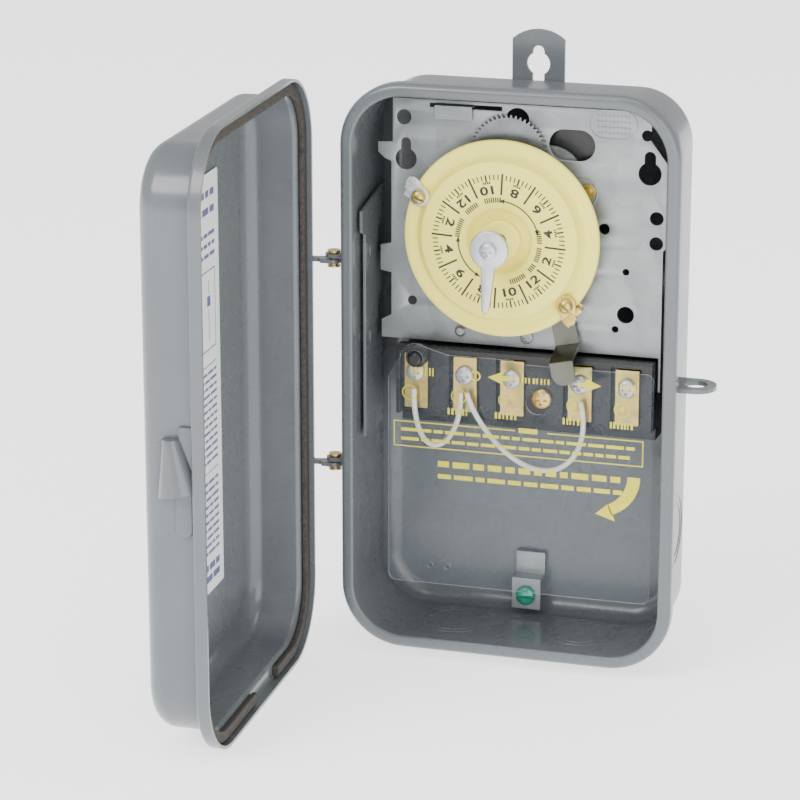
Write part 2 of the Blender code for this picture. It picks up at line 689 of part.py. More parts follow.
def clock_dial():
    """Stamped dial: flange, groove, raised number band and sunk middle."""
    front = [(5.0, 7.2), (11.6, 7.2), (13.6, 12.0), (30.6, 12.0), (33.2, 7.6), (35.4, 7.6),
             (36.2, 8.2), (DIAL_R - 0.6, 8.2), (DIAL_R, 7.6)]
    back = [(r - (0.2 if 20 < r < 34 else 0), h - 1.3) for r, h in reversed(front)]
    back[0] = (DIAL_R, 6.9)
    turned("clock_dial", front + back, "cream_enamel", front_at(DIAL_X, DIAL_Z), 36)
    turned("dial_sleeve", [(SHAFT_R + GAP, 7.0), (4.2, 7.0), (4.2, 2.4), (SHAFT_R + GAP, 2.4)],
           "brass", front_at(DIAL_X, DIAL_Z), 20)
    turned("dial_nut", [(SHAFT_R + GAP, 10.6), (6.8, 10.6), (7.8, 9.6), (7.8, 7.5),
                        (SHAFT_R + GAP, 7.5)], "cream_enamel", front_at(DIAL_X, DIAL_Z), 24)


def time_pointer():
    """Fixed pointer on the end of the still main shaft."""
    turned("main_shaft", [(0, POINTER_H - GAP), (SHAFT_R, POINTER_H - GAP), (SHAFT_R, -PLATE_T - 0.5),
                          (5.0, -PLATE_T - 0.5), (5.0, -PLATE_T - 2.0), (0, -PLATE_T - 2.0)],
           "galvanised_steel", front_at(DIAL_X, DIAL_Z), 16)
    disc_r, length, wide, narrow = 7.5, 25.7, 2.9, 2.0
    neck = math.degrees(math.asin(wide / disc_r))
    outline = (arc(0, 0, disc_r, 90 + neck - 90, 360 - neck, 24)
               + [(length - 4.0, -narrow), (length, 0.0), (length - 4.0, narrow)])
    blade = front_at(DIAL_X, DIAL_Z, POINTER_H) @ Matrix.Rotation(
        math.radians(POINTER_ANGLE), 4, "Z")
    flat("time_pointer", [outline], 2.2, "zinc_casting", blade)
    turned("pointer_screw", [(0, 2.2), (2.2, 2.0), (3.2, 1.0), (3.2, 0), (0, 0)],
           "galvanised_steel", front_at(DIAL_X, DIAL_Z, POINTER_H + 2.2 + GAP), 16)


def tripper(name, angle, finish):
    """Clamp on the dial's rim: a front plate, a web past the rim and a back foot."""
    frame = front_at(DIAL_X, DIAL_Z) @ Matrix.Rotation(math.radians(angle), 4, "Z")
    clamp = box(name, (33.8, -4.2, 8.5), (41.6, 4.2, 9.7), finish, frame)
    web = box(name + "_web", (39.2, -3.2, 4.7), (41.6, 3.2, 9.0), finish, frame)
    foot = box(name + "_foot", (33.6, -3.2, 4.7), (40.4, 3.2, 5.8), finish, frame)
    finger = box(name + "_finger", (39.6, -6.2, 7.0), (42.6, 2.0, 9.7), finish, frame)
    join(clamp, web, foot, finger)
    set_origin(clamp, (DIAL_X, PLATE_Y, DIAL_Z))
    turned(name + "_screw", [(0, 3.2), (2.0, 3.2), (2.8, 2.6), (2.8, 0), (0, 0)],
           "brass", frame @ Matrix.Translation(at(35.6, 0, 9.7 + GAP)), 14)


def manual_lever():
    """Stamped lever under the dial whose blade comes forward over the shield."""
    frame = front_at(LEVER_X, LEVER_Z) @ Matrix.Rotation(math.radians(LEVER_LEAN), 4, "Z")
    side = [(7.0, 1.45), (-34.6, 1.45), (-38.0, 15.2), (-48.0, 15.2), (-48.0, 16.3),
            (-37.0, 16.3), (-33.6, 2.65), (7.0, 2.65)]
    turn = Matrix(((0, 0, 1, 0), (1, 0, 0, 0), (0, 1, 0, 0), (0, 0, 0, 1)))
    strip = flat("manual_lever", [side], 9.5, "galvanised_steel",
                 frame @ Matrix.Translation(at(-4.75, 0, 0)) @ turn)
    outline = (arc(0, 0, 5.2, 0, 180, 8) + [(-4.0, -10.0), (-4.75, -28.0)]
               + arc(0, -41.8, 4.75, 180, 360, 8) + [(4.75, -28.0), (4.0, -10.0)])
    front = flat("lever_outline", [outline], 30.0, "galvanised_steel",
                 frame @ Matrix.Translation(at(0, 0, -2)))
    strip.modifiers.clear()
    cut(strip, front, operation="INTERSECT")
    bpy.data.objects.remove(front, do_unlink=True)
    bore = turned("lever_bore", [(0, 20), (1.6 + GAP, 20), (1.6 + GAP, -20), (0, -20)], None,
                  frame, 14, "cutters")
    cut(strip, bore)
    set_origin(strip, (LEVER_X, PLATE_Y, LEVER_Z))
    turned("lever_arbor", [(0, 2.6), (1.6, 2.6), (1.6, 1.1), (2.0, 1.1), (2.0, -PLATE_T - 0.5),
                           (1.6, -PLATE_T - 0.5), (1.6, -PLATE_T - 3.4), (0, -PLATE_T - 3.4)],
           "galvanised_steel", front_at(LEVER_X, LEVER_Z), 14)
    lobe = (arc(0, 0, 4.5, 20, 160, 8) + arc(0, -1.5, 8.0, 200, 340, 10))
    cam = flat("switch_cam", [lobe, circle(0, 0, 1.6 + GAP, 14)], 2.0, "black_phenolic",
               frame @ Matrix.Translation(at(0, 0, -PLATE_T - 3.0)))
    set_origin(cam, (LEVER_X, PLATE_Y, LEVER_Z))


def contact_arm(name, x, z, lean):
    """Spring arm behind the plate that the cam's swing opens and closes."""
    outline = arc(0, 0, 3.0, 180, 360, 6) + [(1.6, 18.0), (-1.6, 18.0)]
    frame = front_at(x, z, -PLATE_T - 4.4) @ Matrix.Rotation(math.radians(lean), 4, "Z")
    return flat(name, [outline, circle(0, 0, 1.2, 10)], 1.0, "brass", frame)


# ---------------------------------------------------------------- terminals

def terminal_block():
    """Moulded block with an open-bottomed pocket for each terminal."""
    low, high = (-47.4, BLOCK_FRONT_Y, -25.0), (55.2, -14.0, 7.6)
    block = box("terminal_block", low, high, "black_phenolic")
    cutters = []
    for label, x in TERMINALS.items():
        cutters.append(box(f"pocket_cutter_{label}", (x - 6.2, BLOCK_FRONT_Y - 1, -26.0),
                           (x + 6.2, POCKET_FLOOR_Y, 5.6), None, collection="cutters"))
    cutters.append(box("block_step_cutter", (-50.0, BLOCK_FRONT_Y - 1, -30.0),
                       (60.0, -27.0, -20.0), None, collection="cutters"))
    cutters.append(box("plate_clearance_cutter", (-60.0, PLATE_Y - GAP, 5.0),
                       (60.0, -10.0, 12.0), None, collection="cutters"))
    cutters.append(box("tail_clearance_cutter", (55.2 - GAP, PLATE_Y - 1, -6.0),
                       (60.0, -26.0, 12.0), None, collection="cutters"))
    screw_hole = turned("block_screw_cutter", [(0, 30), (2.0 + GAP, 30), (2.0 + GAP, -5), (0, -5)],
                        None, Matrix.Translation(at(11.8, -30.0, -9.0)) @ FRONT, 12, "cutters")
    return cut(block, *cutters, screw_hole)


def pan_head(name, x, z, y, radius, shank, finish, steps=16):
    """Pan-head screw whose seat is at y; the shank goes towards the wall."""
    profile = [(0, 2.4), (radius * 0.6, 2.2), (radius, 1.0), (radius, 0)]
    if shank:
        profile += [(2.0, 0), (2.0, -shank)]
    profile.append((0, profile[-1][1]))
    return turned(name, profile, finish, Matrix.Translation(at(x, y, z)) @ FRONT, steps)


def terminals():
    strap_back = POCKET_FLOOR_Y - GAP
    for label, x in TERMINALS.items():
        box(f"terminal_strap_{label}", (x - STRAP_W / 2, strap_back - 1.2, STRAP_BOTTOM),
            (x + STRAP_W / 2, strap_back, STRAP_TOP), "brass")
        pan_head(f"terminal_screw_{label}", x, TERMINAL_SCREW_Z, strap_back - 1.2 - GAP, 3.7, 0.0,
                 "galvanised_steel")
    pan_head("block_screw", 11.8, -9.0, BLOCK_FRONT_Y - GAP, 4.0, 8.0, "brass")


def terminal_shield():
    """Clear sheet in front of the terminals with an ear that hangs on a post."""
    left, right, bottom = -48.2, 57.4, -87.0
    ear_r = 6.0
    outline = (arc(EAR_X, EAR_Z, ear_r, 60, 180, 8) + [(left, -3.0)]
               + arc(left + 3.0, bottom + 3.0, 3.0, 180, 270, 3)
               + arc(right - 3.0, bottom + 3.0, 3.0, 270, 360, 3)
               + arc(right - 3.0, 6.0 - 3.0, 3.0, 0, 90, 3)
               + [(2.0, 6.0), (2.0, 7.4), (-24.5, 7.4)])
    holes = [circle(EAR_X, EAR_Z, 3.2, 16), circle(-31.0, -79.5, 1.2, 8),
             circle(-24.0, -79.5, 1.2, 8), circle(11.8, -9.0, 4.6, 16)]
    sheet = flat("terminal_shield", [outline] + holes, SHIELD_T, "clear_plastic",
                 Matrix.Translation(at(0, SHIELD_Y, 0)) @ FRONT)
    set_origin(sheet, (EAR_X, SHIELD_Y, EAR_Z))
    post = [(0, 9.4), (1.8, 9.4), (2.7, 8.6), (2.7, 5.6), (4.2, 5.6), (4.2, 0), (0, 0)]
    turned("shield_post", post, "black_phenolic",
           Matrix.Translation(at(EAR_X, BLOCK_FRONT_Y - GAP, EAR_Z)) @ FRONT, 16)


def bowed(corners, steps):
    """Points of a hanging lead: a smooth curve drawn towards five corners."""
    points = []
    for i in range(steps + 1):
        t = i / steps
        weights = [math.comb(4, k) * t ** k * (1 - t) ** (4 - k) for k in range(5)]
        place = Vector((0, 0, 0))
        for weight, corner in zip(weights, corners):
            place += Vector(corner) * weight
        points.append(tuple(place))
    return points


def leads():
    y = BLOCK_FRONT_Y - 1.7
    first = bowed([(-39.5, y, -9.0), (-40.0, y, -32.0), (-31.0, y - 1.5, -40.0),
                   (-19.5, y, -28.0), (-20.6, y, -9.0)], 18)
    second = bowed([(-18.0, y, -9.0), (-15.0, y, -22.0), (11.0, y - 1.5, -58.0),
                    (35.0, y, -36.0), (27.5, y, -9.0)], 22)
    tube("lead_a_to_1", first, LEAD_R, "white_insulation")
    tube("lead_1_to_3", second, LEAD_R, "white_insulation")


def main():
    clear_scene()
    build_enclosure()
    mechanism_plate()
    gears()
    clock_dial()
    time_pointer()
    tripper("off_tripper", OFF_ANGLE, "zinc_casting")
    tripper("on_tripper", ON_ANGLE, "brass")
    manual_lever()
    contact_arm("contact_arm_1", 4.5, 14.0, 0.0)
    contact_arm("contact_arm_2", 24.0, 14.0, 0.0)
    terminal_block()
    terminals()
    terminal_shield()
    leads()


main()
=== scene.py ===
"""Looks of the mechanical time switch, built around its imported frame.

Lengths below are in millimetres and MM turns them into metres. +X is right as seen
from the front, +Y goes into the wall, +Z is up, and heights above the mechanism
plate count towards the viewer. Door pieces are drawn closed and then turned open.
"""
import json
import math
import random

import bmesh
import bpy
from mathutils import Matrix, Vector


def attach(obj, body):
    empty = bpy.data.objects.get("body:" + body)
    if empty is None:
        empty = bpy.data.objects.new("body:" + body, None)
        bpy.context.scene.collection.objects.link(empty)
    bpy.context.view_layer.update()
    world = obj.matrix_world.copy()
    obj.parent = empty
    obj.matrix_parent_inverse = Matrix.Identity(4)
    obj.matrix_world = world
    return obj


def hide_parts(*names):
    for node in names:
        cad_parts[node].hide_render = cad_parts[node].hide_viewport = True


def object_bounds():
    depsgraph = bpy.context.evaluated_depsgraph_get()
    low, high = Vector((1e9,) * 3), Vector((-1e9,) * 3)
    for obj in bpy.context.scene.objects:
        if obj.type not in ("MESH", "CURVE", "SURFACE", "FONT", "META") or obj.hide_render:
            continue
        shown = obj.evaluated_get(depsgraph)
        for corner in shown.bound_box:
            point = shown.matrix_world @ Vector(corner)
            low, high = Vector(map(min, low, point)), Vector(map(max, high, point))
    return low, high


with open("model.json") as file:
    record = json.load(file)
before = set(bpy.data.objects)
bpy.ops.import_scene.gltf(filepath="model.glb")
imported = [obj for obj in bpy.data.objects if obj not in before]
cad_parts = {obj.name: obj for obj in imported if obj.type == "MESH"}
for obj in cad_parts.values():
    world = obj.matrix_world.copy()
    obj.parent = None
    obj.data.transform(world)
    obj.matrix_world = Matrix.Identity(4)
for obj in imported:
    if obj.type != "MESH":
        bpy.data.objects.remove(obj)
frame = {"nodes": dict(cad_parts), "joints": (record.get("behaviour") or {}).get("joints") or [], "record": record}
cad_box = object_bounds()
random.seed(7)

MM = 0.001
FRONT = Matrix.Rotation(math.radians(90), 4, "X")
LIFT = 0.04                    # printing stands this far off its sheet

SHEET = 1.2
CASE_W, CASE_H, CASE_D, CASE_CORNER = 133.5, 228.0, 48.0, 25.0
BODY_INSET, BACK_ROUND, FLANGE_DEPTH, FLANGE_ROUND = 4.0, 8.0, 6.0, 2.4
WALL_X, FLOOR_Z = CASE_W / 2 - BODY_INSET, -CASE_H / 2 + BODY_INSET
KNOCKOUT_RADII = (11.1, 14.1)  # trade sizes 1/2 and 3/4 inch
KNOCKOUT_Y, KNOCKOUT_X, SIDE_KNOCKOUT_Z = -24.0, 26.0, -62.5

DOOR_MARGIN, PAN_INSET, PAN_ROUND = 3.3, 6.4, 8.0
SKIRT_EDGE_Y, SHOULDER_Y, DOOR_FACE_Y = -46.6, -50.6, -73.2
SKIRT_X = CASE_W / 2 + DOOR_MARGIN
LATCH_X = SKIRT_X - PAN_INSET + 0.3
GASKET_T = 2.0

PLATE_Y, PLATE_T, PLATE_TOP = -29.0, 1.2, 104.8
DIAL_X, DIAL_Z, DIAL_R = -5.0, 53.5, 38.8
BAND_H = 12.0                  # height of the dial's printed band
POINTER_H, POINTER_ANGLE = 24.5, -93.0
QUARTER_HOUR = 360 / 96        # degrees of dial
INK_SPREAD = 0.14              # thickens the numerals
STUD_BOSS, FRAME_SCREW = (24.4, 72.0), (3.6, 13.0)
BLOCK_SCREW = (11.8, -9.0)
SHIELD_Y, SHIELD_T = -43.0, 0.6
STRAP_Y, STRAP_SCREW_Z = -34.9, -2.5
TERMINALS = {"a": -39.5, "1": -19.6, "2": -0.6, "3": 26.5, "4": 45.2}
LEAD_R = 1.05

HINGE = [joint for joint in frame["joints"] if joint["name"] == "door_hinge"][0]
DOOR_TURN = (Matrix.Translation(HINGE["pos_m"])
             @ Matrix.Rotation(-math.radians(HINGE["range_deg"][1]), 4, "Z")
             @ Matrix.Translation(HINGE["pos_m"]).inverted())


# ---------------------------------------------------------------- materials

def principled(name, colour, roughness, metallic=0.0, **sockets):
    made = bpy.data.materials.new(name)
    made.use_nodes = True
    bsdf = made.node_tree.nodes["Principled BSDF"]
    bsdf.inputs["Base Color"].default_value = (*colour, 1.0)
    bsdf.inputs["Roughness"].default_value = roughness
    bsdf.inputs["Metallic"].default_value = metallic
    for key, value in sockets.items():
        bsdf.inputs[key.replace("_", " ")].default_value = value
    return made


def texture(mat, kind, scale, stretch=(1, 1, 1), **settings):
    """A texture node in the object's own coordinates, with scale in cells per metre."""
    nodes, links = mat.node_tree.nodes, mat.node_tree.links
    place = nodes.new("ShaderNodeTexCoord")
    mapping = nodes.new("ShaderNodeMapping")
    mapping.inputs["Scale"].default_value = stretch
    node = nodes.new(kind)
    node.inputs["Scale"].default_value = scale
    for key, value in settings.items():
        node.inputs[key].default_value = value
    links.new(place.outputs["Object"], mapping.inputs["Vector"])
    links.new(mapping.outputs["Vector"], node.inputs["Vector"])
    return node


def ramp(mat, source, stops, target):
    nodes, links = mat.node_tree.nodes, mat.node_tree.links
    node = nodes.new("ShaderNodeValToRGB")
    while len(node.color_ramp.elements) < len(stops):
        node.color_ramp.elements.new(0.5)
    for element, (place, value) in zip(node.color_ramp.elements, stops):
        element.position = place
        element.color = (*value, 1.0) if isinstance(value, tuple) else (value, value, value, 1.0)
    links.new(source, node.inputs["Fac"])
    links.new(node.outputs["Color"], nodes["Principled BSDF"].inputs[target])


def bump(mat, source, strength, distance_mm):
    nodes, links = mat.node_tree.nodes, mat.node_tree.links
    node = nodes.new("ShaderNodeBump")
    node.inputs["Strength"].default_value = strength
    node.inputs["Distance"].default_value = distance_mm * MM
    links.new(source, node.inputs["Height"])
    links.new(node.outputs["Normal"], nodes["Principled BSDF"].inputs["Normal"])


def shade(colour, factor):
    return tuple(min(1.0, c * factor) for c in colour)


def coating(name, colour, roughness, metallic=0.0, spread=0.08, patch=25.0, grain=900.0,
            strength=0.08, stretch=(1, 1, 1), **sockets):
    """A finish with slow colour drift, uneven gloss and a fine surface texture."""
    mat = principled(name, colour, roughness, metallic, **sockets)
    drift = texture(mat, "ShaderNodeTexNoise", patch, Detail=4.0)
    ramp(mat, drift.outputs["Fac"], [(0.35, shade(colour, 1 - spread)),
                                     (0.65, shade(colour, 1 + spread))], "Base Color")
    gloss = texture(mat, "ShaderNodeTexNoise", patch * 3, Detail=5.0)
    ramp(mat, gloss.outputs["Fac"], [(0.3, roughness * 0.85), (0.7, roughness * 1.2)],
         "Roughness")
    fine = texture(mat, "ShaderNodeTexNoise", grain, stretch, Detail=3.0)
    bump(mat, fine.outputs["Fac"], strength, 0.2)
    return mat


def spangled(name, colour, roughness, metallic):
    """Hot-dip zinc: crystal patches that differ in brightness and gloss."""
    mat = principled(name, colour, roughness, metallic)
    cells = texture(mat, "ShaderNodeTexVoronoi", 150.0)
    ramp(mat, cells.outputs["Color"], [(0.1, shade(colour, 0.9)), (0.9, shade(colour, 1.08))],
         "Base Color")
    smear = texture(mat, "ShaderNodeTexNoise", 60.0, (1, 1, 0.3), Detail=6.0)
    ramp(mat, smear.outputs["Fac"], [(0.3, roughness * 0.8), (0.7, roughness * 1.25)],
         "Roughness")
    bump(mat, smear.outputs["Fac"], 0.12, 0.15)
    return mat


def plated_brass(name):
    """Yellow chromate over zinc: gold that drifts to pink and green."""
    gold = (0.62, 0.46, 0.12)
    mat = principled(name, gold, 0.3, 0.85)
    film = texture(mat, "ShaderNodeTexNoise", 160.0, Detail=3.0, Distortion=0.6)
    ramp(mat, film.outputs["Fac"], [(0.32, (0.42, 0.42, 0.17)), (0.47, gold),
                                    (0.58, (0.70, 0.51, 0.17)), (0.70, (0.60, 0.40, 0.20))],
         "Base Color")
    bump(mat, film.outputs["Fac"], 0.05, 0.1)
    return mat


MATERIALS = {
    "grey_enamel": coating("grey_enamel", (0.115, 0.128, 0.138), 0.27, spread=0.05,
                           Coat_Weight=0.25, Coat_Roughness=0.12),
    "galvanised_steel": spangled("galvanised_steel", (0.32, 0.34, 0.345), 0.40, 0.75),
    "lever_steel": coating("lever_steel", (0.12, 0.12, 0.10), 0.3, 1.0, 0.12, 60, 500,
                           0.06, (1, 1, 0.1)),
    "cream_enamel": coating("cream_enamel", (1.0, 0.88, 0.17), 0.4, spread=0.02,
                            strength=0.03, Specular_IOR_Level=0.3),
    "zinc_casting": coating("zinc_casting", (0.60, 0.61, 0.63), 0.36, 0.8, 0.10, 150, 1400, 0.3),
    "brass": plated_brass("brass"),
    "dark_steel": coating("dark_steel", (0.23, 0.24, 0.25), 0.38, 0.9, 0.12, 90, 1200, 0.12),
    "black_phenolic": coating("black_phenolic", (0.012, 0.012, 0.013), 0.28, spread=0.2,
                              strength=0.05),
    "clear_plastic": coating("clear_plastic", (0.16, 0.20, 0.24), 0.07, spread=0.02,
                             patch=8.0, strength=0.0, Alpha=0.06,
                             Specular_IOR_Level=0.2),
    # Lighter, more opaque copy of the clear plastic for the sheet's cut edges: a painted highlight where the edges
    # catch the light.
    "clear_edge_highlight": coating("clear_edge_highlight", (0.60, 0.67, 0.74), 0.12, spread=0.02,
                          patch=8.0, strength=0.0, Alpha=0.6),
    "green_enamel": coating("green_enamel", (0.02, 0.28, 0.20), 0.22, 0.35, 0.12, 300,
                            Coat_Weight=0.6),
    "sponge_rubber": coating("sponge_rubber", (0.05, 0.043, 0.037), 0.85, spread=0.35,
                             patch=900, grain=1500, strength=0.8),
    "white_paper": coating("white_paper", (0.80, 0.81, 0.83), 0.6, spread=0.03, grain=3000),
    "white_insulation": coating("white_insulation", (0.84, 0.84, 0.81), 0.4, spread=0.04,
                                strength=0.04),
    "blue_ink": coating("blue_ink", (0.12, 0.13, 0.27), 0.6, spread=0.15, patch=300),
    "black_ink": coating("black_ink", (0.02, 0.019, 0.016), 0.5, spread=0.2, patch=300),
    "yellow_ink": coating("yellow_ink", (0.62, 0.56, 0.03), 0.5, spread=0.08, patch=300),
}


# ---------------------------------------------------------------- shapes

def at(x, y, z):
    return Vector((x, y, z)) * MM


def front_at(x, z, height=0.0):
    """Frame standing on the plate: local x right, y up, z towards the viewer."""
    return Matrix.Translation(at(x, PLATE_Y - height, z)) @ FRONT


def arc(cx, cy, radius, start, end, steps):
    first, span = math.radians(start), math.radians(end - start)
    return [(cx + radius * math.cos(first + span * i / steps),
             cy + radius * math.sin(first + span * i / steps)) for i in range(steps + 1)]


def circle(cx, cy, radius, steps=36):
    return arc(cx, cy, radius, 0, 360, steps)[:-1]


def keyhole(cx, cy, radius, neck, top):
    side = math.degrees(math.asin(neck / radius))
    return (arc(cx, cy, radius, 90 + side, 450 - side, 32)
            + arc(cx, top - neck, neck, 0, 180, 14))


def obround(cx, cy, length, width):
    half = (length - width) / 2
    return (arc(cx + half, cy, width / 2, -90, 90, 18)
            + arc(cx - half, cy, width / 2, 90, 270, 18))


def rectangle(x0, y0, x1, y1):
    return [(x0, y0), (x1, y0), (x1, y1), (x0, y1)]


def rounded(x0, y0, x1, y1, radius, steps=14):
    return (arc(x1 - radius, y1 - radius, radius, 0, 90, steps)
            + arc(x0 + radius, y1 - radius, radius, 90, 180, steps)
            + arc(x0 + radius, y0 + radius, radius, 180, 270, steps)
            + arc(x1 - radius, y0 + radius, radius, 270, 360, steps))


def place(name, mesh, finish, matrix=None, smooth=35):
    obj = bpy.data.objects.new(name, mesh)
    bpy.context.scene.collection.objects.link(obj)
    if matrix is not None:
        mesh.transform(matrix)
    if finish:
        mesh.materials.clear()
        mesh.materials.append(MATERIALS[finish])
    mesh.shade_smooth()
    mesh.set_sharp_from_angle(angle=math.radians(smooth))
    return obj


def evaluated(obj):
    bpy.context.view_layer.update()
    graph = bpy.context.evaluated_depsgraph_get()
    mesh = bpy.data.meshes.new_from_object(obj.evaluated_get(graph))
    work = bmesh.new()
    work.from_mesh(mesh)
    bmesh.ops.remove_doubles(work, verts=work.verts, dist=1e-6)
    work.to_mesh(mesh)
    work.free()
    return mesh


def bake(obj):
    mesh = evaluated(obj)
    obj.modifiers.clear()
    obj.data = mesh
    mesh.shade_smooth()
    mesh.set_sharp_from_angle(angle=math.radians(35))
    return obj


def flat(name, loops, thickness, finish, matrix=None, bevel=0.0):
    """A sheet from an outline and its holes, with rounded edges."""
    curve = bpy.data.curves.new(name, "CURVE")
    curve.dimensions = "2D"
    curve.fill_mode = "BOTH"
    curve.extrude = (thickness / 2 - bevel) * MM
    curve.bevel_depth = bevel * MM
    curve.bevel_resolution = 2
    curve.offset = -bevel * MM
    for loop in loops:
        spline = curve.splines.new("POLY")
        spline.points.add(len(loop) - 1)
        for point, (x, y) in zip(spline.points, loop):
            point.co = (x * MM, y * MM, 0.0, 1.0)
        spline.use_cyclic_u = True
    drawn = bpy.data.objects.new(name + "_outline", curve)
    bpy.context.scene.collection.objects.link(drawn)
    mesh = evaluated(drawn)
    bpy.data.objects.remove(drawn, do_unlink=True)
    mesh.transform(Matrix.Translation((0, 0, thickness * MM / 2)))
    return place(name, mesh, finish, matrix)


def turned(name, profile, finish, matrix=None, steps=96):
    mesh = bpy.data.meshes.new(name)
    points = [(r * MM, 0.0, h * MM) for r, h in profile]
    edges = [(i, i + 1) for i in range(len(points) - 1)]
    if profile[0][0] > 0:
        edges.append((len(points) - 1, 0))
    mesh.from_pydata(points, edges, [])
    obj = bpy.data.objects.new(name, mesh)
    bpy.context.scene.collection.objects.link(obj)
    screw = obj.modifiers.new("Turn", "SCREW")
    screw.steps = screw.render_steps = steps
    screw.use_merge_vertices = True
    screw.merge_threshold = 0.000001
    mesh = evaluated(obj)
    bpy.data.objects.remove(obj, do_unlink=True)
    work = bmesh.new()
    work.from_mesh(mesh)
    bmesh.ops.recalc_face_normals(work, faces=work.faces)
    work.to_mesh(mesh)
    work.free()
    return place(name, mesh, finish, matrix)


def block(name, low, high, finish, matrix=None, bevel=0.25):
    work = bmesh.new()
    bmesh.ops.create_cube(work, size=1.0)
    size = Vector([high[i] - low[i] for i in range(3)]) * MM
    middle = Vector([high[i] + low[i] for i in range(3)]) * MM / 2
    bmesh.ops.scale(work, verts=work.verts, vec=size)
    bmesh.ops.translate(work, verts=work.verts, vec=middle)
    if bevel:
        bmesh.ops.bevel(work, geom=work.edges, offset=bevel * MM, segments=2, profile=0.5,
                        affect="EDGES")
    mesh = bpy.data.meshes.new(name)
    work.to_mesh(mesh)
    work.free()
    return place(name, mesh, finish, matrix)


def cut(obj, *cutters):
    for cutter in cutters:
        step = obj.modifiers.new("Cut", "BOOLEAN")
        step.operation = "DIFFERENCE"
        step.solver = "EXACT"
        step.object = cutter
    bake(obj)
    for cutter in cutters:
        bpy.data.objects.remove(cutter, do_unlink=True)
    return obj


def merge(first, *others):
    """Several shells as one mesh object, each keeping its material."""
    work = bmesh.new()
    materials = []
    for obj in (first, *others):
        start = len(work.faces)
        work.from_mesh(obj.data)
        work.faces.ensure_lookup_table()
        for face in list(work.faces)[start:]:
            found = obj.data.materials[face.material_index]
            if found not in materials:
                materials.append(found)
            face.material_index = materials.index(found)
    mesh = bpy.data.meshes.new(first.name)
    work.to_mesh(mesh)
    work.free()
    for found in materials:
        mesh.materials.append(found)
    first.data = mesh
    for obj in others:
        bpy.data.objects.remove(obj, do_unlink=True)
    return first


def keep(obj, body, slot, *nodes, door=False):
    """Final step for every piece: its body and what it replaces. The slot argument is not used."""
    if door:
        obj.data.transform(DOOR_TURN)
    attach(obj, body)
    if nodes:
        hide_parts(*nodes)
    return obj


# ---------------------------------------------------------------- case and door

def drawn_shell(name, half_w, half_h, corner, profile):
    """Deep-drawn sheet: each (inset, y) is one ring, and the last ring is filled."""
    work = bmesh.new()
    rings = []
    for inset, y in profile:
        loop = rounded(inset - half_w, inset - half_h, half_w - inset, half_h - inset,
                       max(corner - inset, 2.0), 16)
        rings.append([work.verts.new(at(x, y, z)) for x, z in loop])
    for near, far in zip(rings, rings[1:]):
        for i in range(len(near)):
            j = (i + 1) % len(near)
            work.faces.new((near[i], near[j], far[j], far[i]))
    middle = work.faces.new(rings[-1])
    bmesh.ops.recalc_face_normals(work, faces=work.faces)
    if middle.normal.y > 0:
        bmesh.ops.reverse_faces(work, faces=work.faces)
    mesh = bpy.data.meshes.new(name)
    work.to_mesh(mesh)
    work.free()
    obj = place(name, mesh, "grey_enamel")
    sheet = obj.modifiers.new("Sheet", "SOLIDIFY")
    sheet.thickness = SHEET * MM
    sheet.offset = -1.0
    sheet.use_even_offset = True
    return bake(obj)


def case():
    front, inner = -CASE_D, BODY_INSET + SHEET
    profile = [(0.0, front + FLANGE_DEPTH), (0.0, front + FLANGE_ROUND)]
    profile += arc(FLANGE_ROUND, front + FLANGE_ROUND, FLANGE_ROUND, 180, 270, 8)[1:]
    profile += arc(inner - 1.0, front + 1.0, 1.0, 270, 360, 5)
    profile += [(inner, front + 10.0), (inner, -BACK_ROUND)]
    profile += arc(inner + BACK_ROUND - SHEET, -BACK_ROUND, BACK_ROUND - SHEET, 180, 90, 10)[1:]
    keep(drawn_shell("case_body", CASE_W / 2, CASE_H / 2, CASE_CORNER, profile),
         "case", "grey_enamel", "case_shell")


def ring_mark(name, centre, turn, radius):
    ridge = [(radius + 0.35 * math.cos(a), 0.22 * math.sin(a))
             for a in (math.radians(40 * i) for i in range(9))]
    return turned(name, ridge, "grey_enamel", Matrix.Translation(at(*centre)) @ turn, 72)


def knockouts():
    """The sheared rings show as fine ridges on both sides of the sheet."""
    right, down = Matrix.Rotation(math.radians(90), 4, "Y"), Matrix.Identity(4)
    places = []
    for depth in (0.0, SHEET):
        places.append(((WALL_X - depth, KNOCKOUT_Y, SIDE_KNOCKOUT_Z), right))
        for x in (-KNOCKOUT_X, KNOCKOUT_X):
            places.append(((x, KNOCKOUT_Y, FLOOR_Z + depth), down))
    marks = [ring_mark(f"knockout_{i}", centre, turn, radius)
             for i, (centre, turn) in enumerate(places) for radius in KNOCKOUT_RADII]
    keep(merge(*marks), "case", "grey_enamel")


def door():
    half_w, half_h = SKIRT_X, CASE_H / 2 + DOOR_MARGIN
    profile = [(0.0, SKIRT_EDGE_Y), (0.0, SHOULDER_Y + 1.6 - SHEET)]
    profile += arc(1.6, SHOULDER_Y + 1.6 - SHEET, 1.6, 180, 270, 6)[1:]
    profile += arc(PAN_INSET - 1.0, SHOULDER_Y - SHEET - 1.0, 1.0, 90, 0, 4)
    profile += arc(PAN_INSET + PAN_ROUND, DOOR_FACE_Y + PAN_ROUND, PAN_ROUND, 180, 270, 12)
    shell = drawn_shell("door_pan", half_w, half_h, CASE_CORNER + DOOR_MARGIN, profile)
    keep(shell, "door", "grey_enamel", "door_shell", door=True)

    outer = rounded(-68.1, -115.4, 68.1, 115.4, 26.0)
    inner = rounded(-63.6, -110.9, 63.6, 110.9, 21.5)
    seal = flat("door_seal", [outer, inner], GASKET_T, "sponge_rubber",
                Matrix.Translation(at(0, SHOULDER_Y + 0.3 + GASKET_T, 0)) @ FRONT, 0.5)
    cut(seal, block("seal_gap", (-22, -60, -120), (6, -40, -105), None, bevel=0))
    keep(seal, "door", "sponge_rubber", "door_gasket", door=True)


